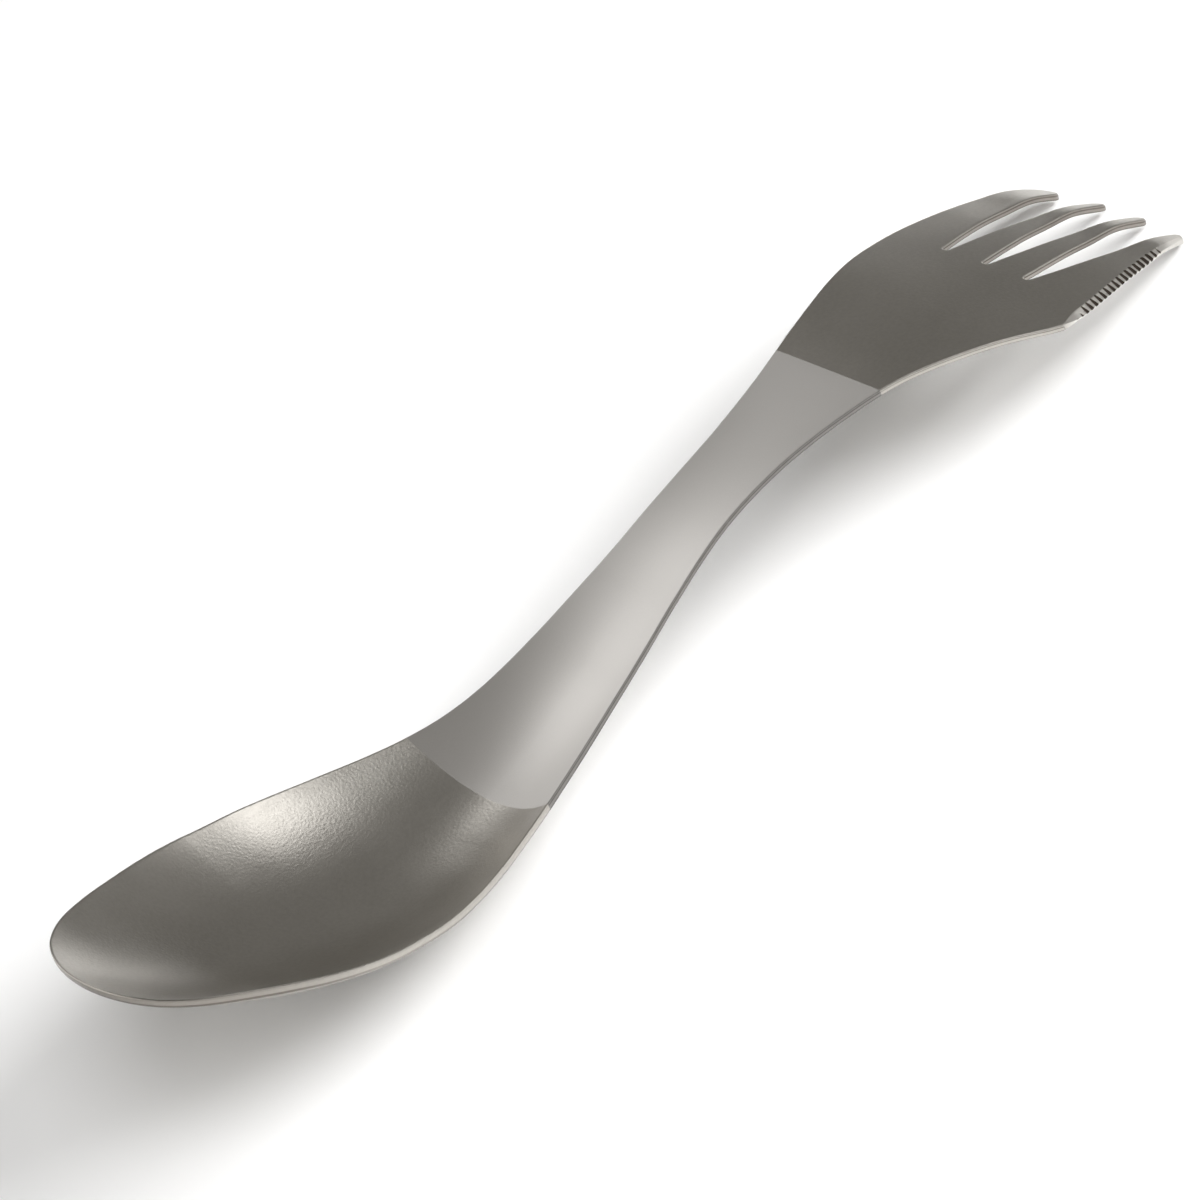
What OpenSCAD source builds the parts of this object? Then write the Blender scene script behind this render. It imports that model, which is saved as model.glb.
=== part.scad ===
// Camping spork pressed from one titanium sheet: a spoon at one end, a fork at the other.
// X runs along the length, spoon tip at -X and tine tips at +X. Z is up and the table is z = 0.
// The serrated edge is on the -Y side. The origin is the centre of the footprint.

/* [Overall] */
// Length from the spoon tip to the tine tips
total_length = 170; // [150:1:190]
// Thickness of the sheet
sheet_t = 0.9; // [0.7:0.05:1.2]

/* [Spoon] */
// Greatest width of the bowl
bowl_width = 38; // [32:0.5:42]
// Distance from the spoon tip to the widest place of the bowl
bowl_wide_from_tip = 28; // [24:0.5:31]
// Distance from the spoon tip to the deepest place of the bowl
bowl_deep_from_tip = 30; // [26:0.5:34]
// Depth of the bowl below its rim
bowl_depth = 8.1; // [6.5:0.1:9]
// Height of the rim at the spoon tip
tip_height = 23.6; // [19:0.2:26]
// Length of the polished spoon end, up to the blasted handle
spoon_polish_length = 56; // [50:0.5:60]

/* [Handle] */
// Distance from the spoon tip to the neck, where the rim is lowest
neck_from_tip = 58; // [54:0.5:62]
// Height of the rim at the neck
neck_height = 6.3; // [5.8:0.1:8]
// Depth of the channel at the neck
neck_dish = 4.4; // [3:0.1:4.8]
// Distance from the spoon tip to the narrowest place of the handle
waist_from_tip = 97.5; // [90:0.5:105]
// Narrowest width of the handle
waist_width = 11.2; // [9:0.2:15]
// Distance from the tine tips to the crest, where the handle is highest
crest_from_tines = 52; // [48:0.5:56]
// Height of the crest
crest_height = 15.25; // [12:0.25:18]

/* [Fork] */
// Length of the polished fork end, up to the blasted handle
fork_polish_length = 49.5; // [44:0.5:51]
// Distance from the tine tips to the widest place of the plain side
fork_wide_from_tines = 22; // [20:0.5:25]
// Half width of the fork on the plain side
fork_half_plain = 15.6; // [14.8:0.1:17]
// Half width of the fork at the heel of the serrated side
fork_half_heel = 17.6; // [17:0.1:18.8]
// Distance from the tine tips to the heel
heel_from_tines = 28; // [26:0.5:31]
// How far the middle of the fork stands above its edges
fork_crown = 0.7; // [0.3:0.05:1.2]
// Length of the slots between the tines
tine_length = 22.7; // [18:0.1:24]
// Distance from the middle of the fork to the middle of an outer slot
slot_spacing = 6.6; // [6.3:0.05:6.7]
// How far the outer slots bow outwards at the middle of their length
slot_bow = 0.45; // [0:0.05:0.7]
// Width of each slot at its mouth
slot_mouth = 5.3; // [4.6:0.1:5.4]
// Radius of each slot's closed end
slot_root_r = 0.5; // [0.3:0.05:0.7]
// Radius that rounds the ends of the tines
tine_tip_r = 0.4; // [0.3:0.05:0.5]
// Radius that rounds the end of the outer tine on the plain side
plain_tip_r = 1.1; // [0.6:0.05:1.15]
// How much shorter the two outer tines are
outer_tine_back = 0.6; // [0:0.1:1.5]

/* [Serrated edge] */
// Width of the bevel ground on the top face
bevel_width = 0.75; // [0.4:0.05:1]
// Thickness left at the cutting edge
edge_t = 0.25; // [0.15:0.05:0.4]
// Number of grooves
groove_count = 20; // [8:1:22]
// Distance from one groove to the next
groove_pitch = 0.98; // [0.85:0.01:1.05]
// Distance from the heel to the first groove
groove_start = 2.8; // [2:0.1:4]
// Radius of a groove at the cutting edge
groove_r = 0.42; // [0.25:0.01:0.44]

/* [Hidden] */

// Colours of the two finishes
polished_colour = [0.38, 0.37, 0.34];
blasted_colour = [0.68, 0.67, 0.65];

// Places along the length
x_tip = -total_length / 2;
x_tines = total_length / 2;
x_wide = x_tip + bowl_wide_from_tip;
x_deep = x_tip + bowl_deep_from_tip;
x_spoon_line = x_tip + spoon_polish_length;
x_neck = x_tip + neck_from_tip;
x_waist = x_tip + waist_from_tip;
x_crest = x_tines - crest_from_tines;
x_fork_line = x_tines - fork_polish_length;
x_heel = x_tines - heel_from_tines;
x_fork_wide = x_tines - fork_wide_from_tines;
x_root = x_tines - tine_length;

// How far the fork's plan runs back behind the end of the pressed sheet that it trims
plan_back = 2;
x_plan = x_fork_line - plan_back;

// Half widths
bowl_half = bowl_width / 2;
waist_half = waist_width / 2;

// Height of the top face at the tine tips as a share of the sheet, so that their undersides touch
// the table
foot_share = 0.84;
foot_height = foot_share * sheet_t;
// How far in from the plain edge the outer tine's rounded end is lowest, as a share of its radius
foot_in_share = 0.45;

// Each pair is a share of the distance along a stretch and a share of the change over it.
// Rim height from the tip to the neck, from the neck to the crest and from there to the tines
rim_tip_shares = [[0, 1], [0.17, 0.77], [0.35, 0.505], [0.52, 0.295], [0.69, 0.147], [0.86, 0.045]];
rim_handle_shares = [[0, 0], [0.12, 0.04], [0.28, 0.24], [0.45, 0.525], [0.62, 0.8], [0.78, 0.933]];
rim_fork_shares = [[0, 1], [0.13, 0.99], [0.33, 0.88], [0.52, 0.687], [0.71, 0.47], [0.81, 0.336],
    [0.9, 0.215], [1, 0]];

// Depth of the dish: to the deepest place, on to the neck, along the handle, and the fork's crown
dish_front_shares = [[0, 0], [0.17, 0.39], [0.33, 0.66], [0.5, 0.84], [0.67, 0.94], [0.83, 0.987]];
dish_back_shares = [[0, 1], [0.18, 0.97], [0.36, 0.85], [0.54, 0.67], [0.71, 0.43], [0.89, 0.15]];
dish_handle_shares = [[0, 1], [0.12, 0.75], [0.28, 0.44], [0.45, 0.26], [0.62, 0.16], [0.78, 0.09]];
crown_shares = [[0, 0], [0.13, 0.17], [0.33, 0.6], [0.52, 0.94], [0.62, 1], [1, 1]];

// Outline: fullness of the bowl's round front against an ellipse, then half widths stretch by stretch
front_fullness_shares = [[0, 1.12], [0.09, 1.09], [0.18, 1.045], [0.36, 0.985], [0.54, 0.97],
    [0.71, 0.983], [0.89, 0.997], [1, 1]];
outline_bowl_shares = [[0, 1], [0.1, 0.969], [0.17, 0.891], [0.245, 0.771], [0.32, 0.63], [0.39, 0.5],
    [0.46, 0.383], [0.53, 0.293], [0.6, 0.226], [0.68, 0.165], [0.75, 0.115], [0.82, 0.066], [0.9, 0.024]];
outline_plain_shares = [[0, 0], [0.15, 0.021], [0.25, 0.078], [0.35, 0.163], [0.45, 0.279], [0.55, 0.429],
    [0.64, 0.583], [0.74, 0.757], [0.84, 0.904], [0.92, 0.972]];
tine_plain_shares = [[0, 1], [0.18, 0.995], [0.36, 0.977], [0.55, 0.952], [0.73, 0.905], [0.86, 0.848],
    [0.94, 0.79], [1, 0.7]];
outline_heel_shares = [[0, 0], [0.17, 0.024], [0.28, 0.073], [0.39, 0.148], [0.51, 0.253], [0.62, 0.386],
    [0.73, 0.555], [0.84, 0.736], [0.955, 0.942], [1, 1]];
tine_serrated_shares = [[0, 1], [0.07, 0.985], [0.2, 0.948], [0.35, 0.89], [0.52, 0.817], [0.68, 0.745],
    [0.84, 0.675], [0.95, 0.607], [1, 0.574]];

// Half width of a slot along its length, as a share of half its mouth
slot_shares = [[0, 0.19], [0.08, 0.285], [0.18, 0.42], [0.35, 0.625], [0.53, 0.79], [0.7, 0.915],
    [0.85, 0.985], [1, 1]];

// Numbers of rows and columns in the pressed faces
bowl_rows = 36;
bowl_columns = 24;
handle_rows = 28;
handle_columns = 12;
fork_rows = 32;
fork_columns = 16;
plan_steps = 24;
// Number of places where the bowl's underside is measured
bottom_steps = 40;
// Closer spacing of the bowl's rows towards the tip
row_crowding = 1.7;
// Small step for measuring slopes
slope_step = 0.02;
// How far a cut runs past what it cuts
cut_over = 1;
// Radius of a groove at the top of the bevel, as a share of its radius at the edge
groove_top_share = 0.45;
// Width of the bevel from the heel to the tine tip, as a share of its full width
bevel_shares = [[0, 0], [0.05, 0.5], [0.1, 0.92], [0.14, 1], [0.4, 1], [0.7, 0.8], [0.85, 0.6], [1, 0.3]];
// Rows of the bevel's cut
bevel_rows = 28;
// How far a groove's cutter runs past the sheet
groove_over = 0.15;
// Radius of the first and last groove, and how much each next one gains, as shares
groove_fade_share = 0.55;
groove_gain_share = 0.2;

// Index of the stretch of a curve that holds x
function stretch(p, x, i = 0) = (i >= len(p) - 2 || x < p[i + 1][0]) ? i : stretch(p, x, i + 1);

// Slope of a curve at its point i
function bend(p, i) =
    let (a = max(0, i - 1), b = min(len(p) - 1, i + 1))
    (p[b][1] - p[a][1]) / (p[b][0] - p[a][0]);

// Smooth curve through the points p, read at x
function smooth(p, x) =
    let (
        i = stretch(p, x),
        h = p[i + 1][0] - p[i][0],
        t = min(1, max(0, (x - p[i][0]) / h)),
        m0 = bend(p, i) * h,
        m1 = bend(p, i + 1) * h
    )
    p[i][1] * (2 * t * t * t - 3 * t * t + 1) + m0 * (t * t * t - 2 * t * t + t)
    + p[i + 1][1] * (3 * t * t - 2 * t * t * t) + m1 * (t * t * t - t * t);

// Points of a stretch from x0 to x1 whose value is v0 at share 0 and v1 at share 1
function stretch_points(shares, x0, x1, v0, v1) =
    [for (s = shares) [x0 + s[0] * (x1 - x0), v0 + s[1] * (v1 - v0)]];

rim_points = concat(
    stretch_points(rim_tip_shares, x_tip, x_neck, neck_height, tip_height),
    stretch_points(rim_handle_shares, x_neck, x_crest, neck_height, crest_height),
    stretch_points(rim_fork_shares, x_crest, x_tines, foot_height, crest_height)
);
dish_points = concat(
    stretch_points(dish_front_shares, x_tip, x_deep, 0, bowl_depth),
    stretch_points(dish_back_shares, x_deep, x_neck, neck_dish, bowl_depth),
    stretch_points(dish_handle_shares, x_neck, x_crest, 0, neck_dish),
    stretch_points(crown_shares, x_crest, x_tines, 0, -fork_crown)
);
plain_points = concat(
    stretch_points(outline_bowl_shares, x_wide, x_waist, waist_half, bowl_half),
    stretch_points(outline_plain_shares, x_waist, x_fork_wide, waist_half, fork_half_plain),
    stretch_points(tine_plain_shares, x_fork_wide, x_tines, 0, fork_half_plain)
);
heel_points = concat(
    stretch_points(outline_bowl_shares, x_wide, x_waist, waist_half, bowl_half),
    stretch_points(outline_heel_shares, x_waist, x_heel, waist_half, fork_half_heel)
);
serrated_points = stretch_points(tine_serrated_shares, x_heel, x_tines, 0, fork_half_heel);

// Round front of the bowl, a share of an ellipse's quarter
function front(x) =
    let (s = min(1, max(0, (x - x_tip) / bowl_wide_from_tip)))
    sqrt(1 - (1 - s) * (1 - s)) * smooth(front_fullness_shares, s);

// Half widths of the plain side and of the serrated side
function half_plain(x) = x < x_wide ? bowl_half * front(x) : smooth(plain_points, x);
function half_serrated(x) =
    x < x_wide ? bowl_half * front(x) : (x < x_heel ? smooth(heel_points, x) : smooth(serrated_points, x));

// Height of the top face, and thickness measured straight down so that the sheet keeps its gauge
function top_z(x, y) =
    x <= x_tip ? tip_height
    : smooth(rim_points, x) - smooth(dish_points, x) * (1 - pow(y / half_plain(x), 2));
function drop(x, y) =
    let (
        xs = min(x_tines - slope_step, max(x, x_tip + slope_step)),
        here = top_z(xs, y),
        dx = (top_z(xs + slope_step, y) - here) / slope_step,
        dy = (top_z(xs, y + slope_step) - here) / slope_step
    )
    sheet_t * sqrt(1 + dx * dx + dy * dy);

// Lowest place of the outer tine on the plain side
x_foot = x_tines - outer_tine_back;
y_foot = half_plain(x_foot) - foot_in_share * plain_tip_r;
// The part is set down so that the bowl or this place, whichever is lower, rests on the table
bowl_bottoms = [for (i = [0 : bottom_steps])
    let (x = x_tip + i / bottom_steps * spoon_polish_length) top_z(x, 0) - drop(x, 0)];
settle = min(min(bowl_bottoms), top_z(x_foot, y_foot) - drop(x_foot, y_foot));

// Row of plan places from the plain side to the serrated side
function row(x, n, plain, serrated) = [for (j = [0 : n]) [x, plain - j / n * (plain + serrated)]];

// Pressed sheet over rows of plan places: a closed skin between its top and bottom faces.
// With pole set, the first row is a single point.
module sheet(rows, pole = false) {
    m = len(rows) - 1;
    n = len(rows[0]) - 1;
    total = (m + 1) * (n + 1);
    function t(i, j) = (pole && i == 0) ? 0 : i * (n + 1) + j;
    function b(i, j) = total + t(i, j);
    tops = [for (r = rows, p = r) [p[0], p[1], top_z(p[0], p[1]) - settle]];
    bottoms = [for (r = rows, p = r) [p[0], p[1], top_z(p[0], p[1]) - drop(p[0], p[1]) - settle]];
    first = pole ? 1 : 0;
    upper = [for (i = [first : m - 1], j = [0 : n - 1], k = [0, 1])
        k == 0 ? [t(i, j), t(i + 1, j), t(i + 1, j + 1)] : [t(i, j), t(i + 1, j + 1), t(i, j + 1)]];
    lower = [for (i = [first : m - 1], j = [0 : n - 1], k = [0, 1])
        k == 0 ? [b(i, j), b(i + 1, j + 1), b(i + 1, j)] : [b(i, j), b(i, j + 1), b(i + 1, j + 1)]];
    sides = [for (i = [0 : m - 1], k = [0 : 3])
        k == 0 ? [t(i + 1, 0), t(i, 0), b(i, 0)]
        : k == 1 ? [t(i + 1, 0), b(i, 0), b(i + 1, 0)]
        : k == 2 ? [t(i, n), t(i + 1, n), b(i + 1, n)]
        : [t(i, n), b(i + 1, n), b(i, n)]];
    last_cap = [for (j = [0 : n - 1], k = [0, 1])
        k == 0 ? [t(m, j + 1), t(m, j), b(m, j)] : [t(m, j + 1), b(m, j), b(m, j + 1)]];
    first_cap = pole ? [] : [for (j = [0 : n - 1], k = [0, 1])
        k == 0 ? [t(0, j), t(0, j + 1), b(0, j + 1)] : [t(0, j), b(0, j + 1), b(0, j)]];
    fan = pole ? [for (j = [0 : n - 1], k = [0, 1])
        k == 0 ? [t(0, 0), t(1, j), t(1, j + 1)] : [b(0, 0), b(1, j + 1), b(1, j)]] : [];
    polyhedron(concat(tops, bottoms), concat(upper, lower, sides, last_cap, first_cap, fan), convexity = 8);
}

// Spoon bowl, with its rows closer together towards the round tip
module spoon_bowl() {
    color(polished_colour)
    sheet([for (i = [0 : bowl_rows])
        let (x = x_tip + spoon_polish_length * pow(i / bowl_rows, row_crowding))
        row(x, bowl_columns, half_plain(x), half_serrated(x))], pole = true);
}

// Handle, from the deep channel at the neck to the flat crest
module handle() {
    color(blasted_colour)
    sheet([for (i = [0 : handle_rows])
        let (x = x_spoon_line + i / handle_rows * (x_fork_line - x_spoon_line))
        row(x, handle_columns, half_plain(x), half_serrated(x))]);
}

// Edge of a slot in plan, side 1 or -1 of its middle line, which bows outwards by bow
function slot_edge(i, y, bow, side) =
    let (
        start = x_root + slot_root_r,
        x = start + i / plan_steps * (x_tines + cut_over - start),
        s = min(1, (x - x_root) / tine_length)
    )
    [x, y + 4 * bow * s * (1 - s) + side * slot_mouth / 2 * smooth(slot_shares, s)];

// One slot in plan, from its round closed end to past the tine tips
module slot_plan(y, bow) {
    translate([x_root + slot_root_r, y])
    circle(slot_root_r, $fn = 16);
    polygon(concat(
        [for (i = [0 : plan_steps]) slot_edge(i, y, bow, 1)],
        [for (i = [plan_steps : -1 : 0]) slot_edge(i, y, bow, -1)]
    ));
}

// Outline of the fork in plan, with the slots cut and the tines' ends still square
module square_ended_plan() {
    plain = [for (i = [0 : plan_steps])
        let (x = x_plan + i / plan_steps * (x_tines - x_plan)) [x, half_plain(x)]];
    before = [for (i = [0 : plan_steps])
        let (x = x_plan + i / plan_steps * (x_heel - x_plan)) [x, -smooth(heel_points, x)]];
    after = [for (i = [1 : plan_steps])
        let (x = x_heel + i / plan_steps * (x_tines - x_heel)) [x, -smooth(serrated_points, x)]];
    blank = concat(plain, [for (i = [plan_steps - 1 : -1 : 0]) after[i]],
        [for (i = [plan_steps : -1 : 0]) before[i]]);
    difference() {
        polygon(blank);
        for (side = [-1, 0, 1])
            slot_plan(side * slot_spacing, side * slot_bow);
        // The outer tines end a little behind the inner ones
        for (side = [-1, 1])
            translate([x_tines - outer_tine_back, side * slot_spacing + (side - 1) / 2 * fork_half_heel])
            square([outer_tine_back + cut_over, fork_half_heel]);
    }
}

// A plan with its outward corners rounded
module rounded(r) {
    offset(r = r, $fn = 32)
    offset(delta = -r)
    children();
}

// Plan of the fork with the tines' ends rounded, the wide outer tine's more than the others
module fork_plan() {
    intersection() {
        rounded(tine_tip_r)
        square_ended_plan();
        union() {
            rounded(plain_tip_r)
            square_ended_plan();
            translate([x_plan, slot_spacing - 2 * fork_half_heel])
            square([x_tines - x_plan, 2 * fork_half_heel]);
        }
    }
}

// Fork blank: the pressed sheet trimmed to the plan of the fork
module fork_blank() {
    intersection() {
        sheet([for (i = [0 : fork_rows])
            let (x = x_fork_line + i / fork_rows * (x_tines - x_fork_line))
            row(x, fork_columns, fork_half_heel + cut_over, fork_half_heel + cut_over)]);
        translate([0, 0, -cut_over])
        linear_extrude(crest_height + tip_height)
        fork_plan();
    }
}

// Space that the grinding wheel clears above the bevel, a three-sided bar along the edge
module bevel_cut() {
    points = [for (i = [0 : bevel_rows])
        let (
            x = x_heel + i / bevel_rows * (x_tines + cut_over - x_heel),
            y = -half_serrated(x),
            fall = (drop(x, y) - edge_t) / bevel_width,
            width = bevel_width * smooth(bevel_shares, min(1, (x - x_heel) / heel_from_tines)),
            z = top_z(x, y + width) - settle
        )
        each [
            [x, y + width + cut_over, z + fall * cut_over],
            [x, y - cut_over, z - fall * (width + cut_over)],
            [x, y - cut_over, z + fall * cut_over]
        ]];
    n = 3 * bevel_rows;
    walls = [for (i = [0 : bevel_rows - 1], k = [0 : 2], half = [0, 1])
        let (a = 3 * i + k, b = 3 * i + (k + 1) % 3)
        half == 0 ? [a, b + 3, a + 3] : [a, b, b + 3]];
    polyhedron(points, concat(walls, [[0, 2, 1], [n, n + 1, n + 2]]), convexity = 4);
}

// Grooves across the bevel, each wider at the cutting edge
module grooves() {
    for (k = [0 : groove_count - 1]) {
        x = x_heel + groove_start + k * groove_pitch;
        y = -half_serrated(x);
        tall = drop(x, y) + 2 * groove_over;
        r = groove_r * min(1, groove_fade_share + groove_gain_share * min(k, groove_count - 1 - k));
        translate([x, y, top_z(x, y) - settle - tall + groove_over])
        cylinder(h = tall, r1 = r, r2 = r * groove_top_share, $fn = 16);
    }
}

module fork_head() {
    color(polished_colour)
    difference() {
        fork_blank();
        bevel_cut();
        grooves();
    }
}

spoon_bowl();
handle();
fork_head();
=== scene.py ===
"""Looks of a one-piece titanium camping spork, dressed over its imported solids.

The sheet is made the way the real one is: a flat blank with soft edges is pressed into the
side profile and ground along one edge. X runs from the spoon tip to the tine tips, the
serrated edge is on the -Y side, Z is up and the table is z = 0. Lengths are in metres.
"""
import math

import bmesh
import bpy
import numpy as np
from mathutils import Matrix, Vector
from mathutils.geometry import delaunay_2d_cdt


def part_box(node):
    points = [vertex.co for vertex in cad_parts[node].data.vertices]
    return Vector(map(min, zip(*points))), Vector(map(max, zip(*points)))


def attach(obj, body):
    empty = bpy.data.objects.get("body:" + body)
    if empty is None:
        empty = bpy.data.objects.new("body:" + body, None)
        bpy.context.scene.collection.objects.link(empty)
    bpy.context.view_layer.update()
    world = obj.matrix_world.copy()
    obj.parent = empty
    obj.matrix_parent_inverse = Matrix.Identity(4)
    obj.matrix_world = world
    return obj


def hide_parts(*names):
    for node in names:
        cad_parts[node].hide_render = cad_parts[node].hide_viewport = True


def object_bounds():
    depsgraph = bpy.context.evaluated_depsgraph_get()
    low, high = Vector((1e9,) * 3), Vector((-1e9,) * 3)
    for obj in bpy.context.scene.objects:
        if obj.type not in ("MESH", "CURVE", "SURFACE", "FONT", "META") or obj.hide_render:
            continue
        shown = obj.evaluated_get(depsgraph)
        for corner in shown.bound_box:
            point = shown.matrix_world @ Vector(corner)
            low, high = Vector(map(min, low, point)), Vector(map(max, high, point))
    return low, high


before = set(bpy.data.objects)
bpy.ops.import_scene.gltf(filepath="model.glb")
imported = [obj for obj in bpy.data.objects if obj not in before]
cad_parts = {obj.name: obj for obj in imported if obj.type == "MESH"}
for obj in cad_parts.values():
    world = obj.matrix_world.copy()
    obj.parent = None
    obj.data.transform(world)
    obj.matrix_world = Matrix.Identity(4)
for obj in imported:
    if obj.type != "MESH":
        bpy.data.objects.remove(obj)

cad_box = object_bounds()
MM = 0.001

# Places along the length, from the frame
x_tip = cad_box[0].x
x_tines = cad_box[1].x
x_spoon_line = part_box("spoon_bowl")[1].x
x_fork_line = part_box("fork_head")[0].x

# Sheet
sheet_t = 0.9 * MM
spoon_soft = 0.3 * MM
fork_soft = 0.2 * MM
tip_soft = 0.3 * MM
tip_soft_run = 3.5 * MM

# Spoon
bowl_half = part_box("spoon_bowl")[1].y
x_wide = x_tip + 28 * MM
x_deep = x_tip + 30 * MM
bowl_depth = 8.1 * MM
tip_height = 23.6 * MM

# Handle
x_neck = x_tip + 58 * MM
neck_height = 6.3 * MM
neck_dish = 4.4 * MM
x_waist = x_tip + 97.5 * MM
waist_half = 5.6 * MM
x_crest = x_tines - 52 * MM
crest_height = 15.25 * MM

# Fork
x_fork_wide = x_tines - 22 * MM
fork_half_plain = 15.6 * MM
fork_half_heel = 17.6 * MM
x_heel = x_tines - 28 * MM
fork_crown = 0.7 * MM
foot_height = 0.756 * MM
tine_length = 22.7 * MM
x_root = x_tines - tine_length
slot_spacing = 6.6 * MM
slot_bow = 0.45 * MM
slot_mouth = 5.3 * MM
slot_root_r = 0.5 * MM
outer_tine_back = 0.6 * MM
plain_tip_back = 0.2 * MM

# Ground and serrated edge
bevel_width = 0.75 * MM
bevel_zone = 1.2 * MM
bevel_blend = 0.15
edge_t = 0.25 * MM
groove_count = 20
groove_pitch = 0.98 * MM
groove_start = 2.8 * MM
groove_r = 0.4 * MM
groove_reach = 0.7 * MM
groove_tilt = math.radians(53)
groove_end_size, groove_size_step = 0.55, 0.2

# Each pair is a share of the distance along a stretch and a share of the change over it
rim_tip_shares = [(0, 1), (0.17, 0.77), (0.35, 0.505), (0.52, 0.295), (0.69, 0.147), (0.86, 0.045)]
rim_handle_shares = [(0, 0), (0.12, 0.04), (0.28, 0.24), (0.45, 0.525), (0.62, 0.8), (0.78, 0.933)]
rim_fork_shares = [(0, 1), (0.13, 0.99), (0.33, 0.88), (0.52, 0.687), (0.71, 0.47), (0.81, 0.336),
                   (0.9, 0.215), (1, 0)]
dish_front_shares = [(0, 0), (0.17, 0.39), (0.33, 0.66), (0.5, 0.84), (0.67, 0.94), (0.83, 0.987)]
dish_back_shares = [(0, 1), (0.18, 0.97), (0.36, 0.85), (0.54, 0.67), (0.71, 0.43), (0.89, 0.15)]
dish_handle_shares = [(0, 1), (0.12, 0.75), (0.28, 0.44), (0.45, 0.26), (0.62, 0.16), (0.78, 0.09)]
crown_shares = [(0, 0), (0.13, 0.17), (0.33, 0.6), (0.52, 0.94), (0.62, 1), (1, 1)]
front_fullness_shares = [(0, 1.12), (0.09, 1.09), (0.18, 1.045), (0.36, 0.985), (0.54, 0.97),
                         (0.71, 0.983), (0.89, 0.997), (1, 1)]
outline_bowl_shares = [(0, 1), (0.1, 0.969), (0.17, 0.891), (0.245, 0.771), (0.32, 0.63), (0.39, 0.5),
                       (0.46, 0.383), (0.53, 0.293), (0.6, 0.226), (0.68, 0.165), (0.75, 0.115),
                       (0.82, 0.066), (0.9, 0.024)]
outline_plain_shares = [(0, 0), (0.15, 0.021), (0.25, 0.078), (0.35, 0.163), (0.45, 0.279),
                        (0.55, 0.429), (0.64, 0.583), (0.74, 0.757), (0.84, 0.904), (0.92, 0.972)]
tine_plain_shares = [(0, 1), (0.18, 0.995), (0.36, 0.977), (0.55, 0.952), (0.73, 0.905), (0.86, 0.848),
                     (0.94, 0.79), (1, 0.7)]
outline_heel_shares = [(0, 0), (0.17, 0.024), (0.28, 0.073), (0.39, 0.148), (0.51, 0.253),
                       (0.62, 0.386), (0.73, 0.555), (0.84, 0.736), (0.955, 0.942), (1, 1)]
tine_serrated_shares = [(0, 1), (0.07, 0.985), (0.2, 0.948), (0.35, 0.89), (0.52, 0.817), (0.68, 0.745),
                        (0.84, 0.675), (0.95, 0.607), (1, 0.574)]
slot_shares = [(0, 0.19), (0.08, 0.285), (0.18, 0.42), (0.35, 0.625), (0.53, 0.79), (0.7, 0.915),
               (0.85, 0.985), (1, 1)]
bevel_shares = [(0, 0), (0.05, 0.5), (0.1, 0.92), (0.14, 1), (0.4, 1), (0.7, 0.8), (0.85, 0.6), (1, 0.3)]

# What the press needs on each point of a blank
press_values = ("rim", "dish", "side", "slant")


def new_object(name, data):
    """Object of the scene that shows the data."""
    made = bpy.data.objects.new(name, data)
    bpy.context.scene.collection.objects.link(made)
    return made


# Curves of the press tool and the blank

def stretch(shares, x0, x1, v0, v1):
    """Points of a stretch from x0 to x1, whose value is v0 at share 0 and v1 at share 1."""
    return [(x0 + s * (x1 - x0), v0 + v * (v1 - v0)) for s, v in shares]


def smooth(points, x):
    """Smooth curve through the points, read at x."""
    at, value = np.array(points, float).T
    last = len(at) - 1
    index = np.arange(last + 1)
    before, after = np.maximum(index - 1, 0), np.minimum(index + 1, last)
    bend = (value[after] - value[before]) / (at[after] - at[before])
    i = np.clip(np.searchsorted(at, x, side="right") - 1, 0, last - 1)
    span = at[i + 1] - at[i]
    t = np.clip((x - at[i]) / span, 0, 1)
    ease = t * t * (3 - 2 * t)
    return (value[i] * (1 - ease) + value[i + 1] * ease
            + bend[i] * span * t * (1 - t) ** 2 - bend[i + 1] * span * t * t * (1 - t))


rim_points = (stretch(rim_tip_shares, x_tip, x_neck, neck_height, tip_height)
              + stretch(rim_handle_shares, x_neck, x_crest, neck_height, crest_height)
              + stretch(rim_fork_shares, x_crest, x_tines, foot_height, crest_height))
dish_points = (stretch(dish_front_shares, x_tip, x_deep, 0, bowl_depth)
               + stretch(dish_back_shares, x_deep, x_neck, neck_dish, bowl_depth)
               + stretch(dish_handle_shares, x_neck, x_crest, 0, neck_dish)
               + stretch(crown_shares, x_crest, x_tines, 0, -fork_crown))
plain_points = (stretch(outline_bowl_shares, x_wide, x_waist, waist_half, bowl_half)
                + stretch(outline_plain_shares, x_waist, x_fork_wide, waist_half, fork_half_plain)
                + stretch(tine_plain_shares, x_fork_wide, x_tines, 0, fork_half_plain))
heel_points = (stretch(outline_bowl_shares, x_wide, x_waist, waist_half, bowl_half)
               + stretch(outline_heel_shares, x_waist, x_heel, waist_half, fork_half_heel))
serrated_points = stretch(tine_serrated_shares, x_heel, x_tines, 0, fork_half_heel)


def front(x):
    """Half width of the bowl's round front, a share of an ellipse's quarter."""
    s = np.clip((x - x_tip) / (x_wide - x_tip), 0, 1)
    return bowl_half * np.sqrt(1 - (1 - s) ** 2) * smooth(front_fullness_shares, s)


def half_plain(x):
    """Half width on the plain side."""
    return np.where(x < x_wide, front(x), smooth(plain_points, x))


def half_serrated(x):
    """Half width on the serrated side."""
    beyond = np.where(x < x_heel, smooth(heel_points, x), smooth(serrated_points, x))
    return np.where(x < x_wide, front(x), beyond)


def slot_half(x):
    """Half width of a slot."""
    return slot_mouth / 2 * smooth(slot_shares, (x - x_root) / tine_length)


def slot_middle(x):
    """Distance of an outer slot's middle line from the middle of the fork."""
    s = (x - x_root) / tine_length
    return slot_spacing + 4 * slot_bow * s * (1 - s)


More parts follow.
